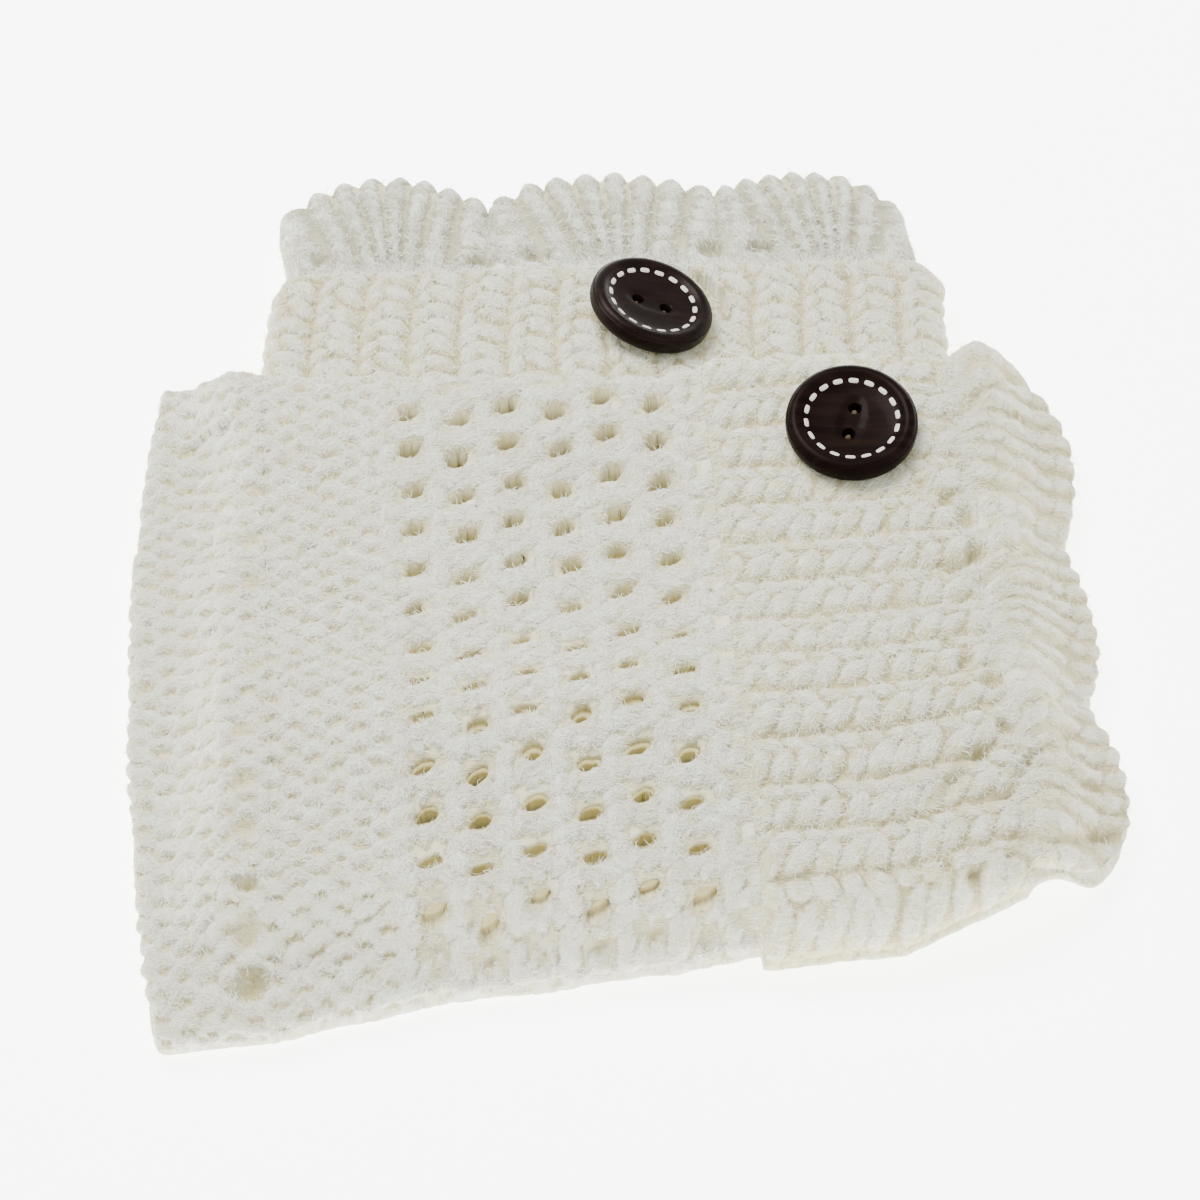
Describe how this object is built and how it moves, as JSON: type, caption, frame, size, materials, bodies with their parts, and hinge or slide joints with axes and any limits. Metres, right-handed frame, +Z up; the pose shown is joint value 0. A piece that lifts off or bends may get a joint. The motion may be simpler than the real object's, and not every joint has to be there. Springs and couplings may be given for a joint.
{
  "type": "pair of crochet leg warmers with wooden buttons, laid flat",
  "caption": "Chunky knit leg warmers laid one across the other: moss stitch hem, openwork leg, ribbed band, scalloped edging and a sewn wooden button on each.",
  "frame": {"origin": "on the surface the pair lies on, under the middle of its outline", "axes": "+Z up; +Y from the viewer's side to the back leg warmer's scallops; +X the way the front leg warmer points, from hem to scallops"},
  "size_m": [0.1827, 0.2138, 0.0271],
  "materials": {
    "knit": "fuzzy ivory chunky acrylic yarn in moss stitch and openwork, matt",
    "rib_knit": "fuzzy ivory chunky acrylic yarn in ribs and fans, matt",
    "wood": "dark brown lacquered wood, glossy, with a ring of off-white painted dashes"
  },
  "bodies": {
    "root": {"back_hem_upper": "knit", "back_hem_lower": "knit", "back_leg_upper": "knit", "back_leg_lower": "knit", "back_band_upper": "rib_knit", "back_band_lower": "rib_knit", "back_edging_upper": "rib_knit", "back_edging_lower": "rib_knit", "back_button": "wood", "front_hem_upper": "knit", "front_hem_lower": "knit", "front_leg_upper": "knit", "front_leg_lower": "knit", "front_band_upper": "rib_knit", "front_band_lower": "rib_knit", "front_edging_upper": "rib_knit", "front_edging_lower": "rib_knit", "front_button": "wood"}
  },
  "joints": []
}
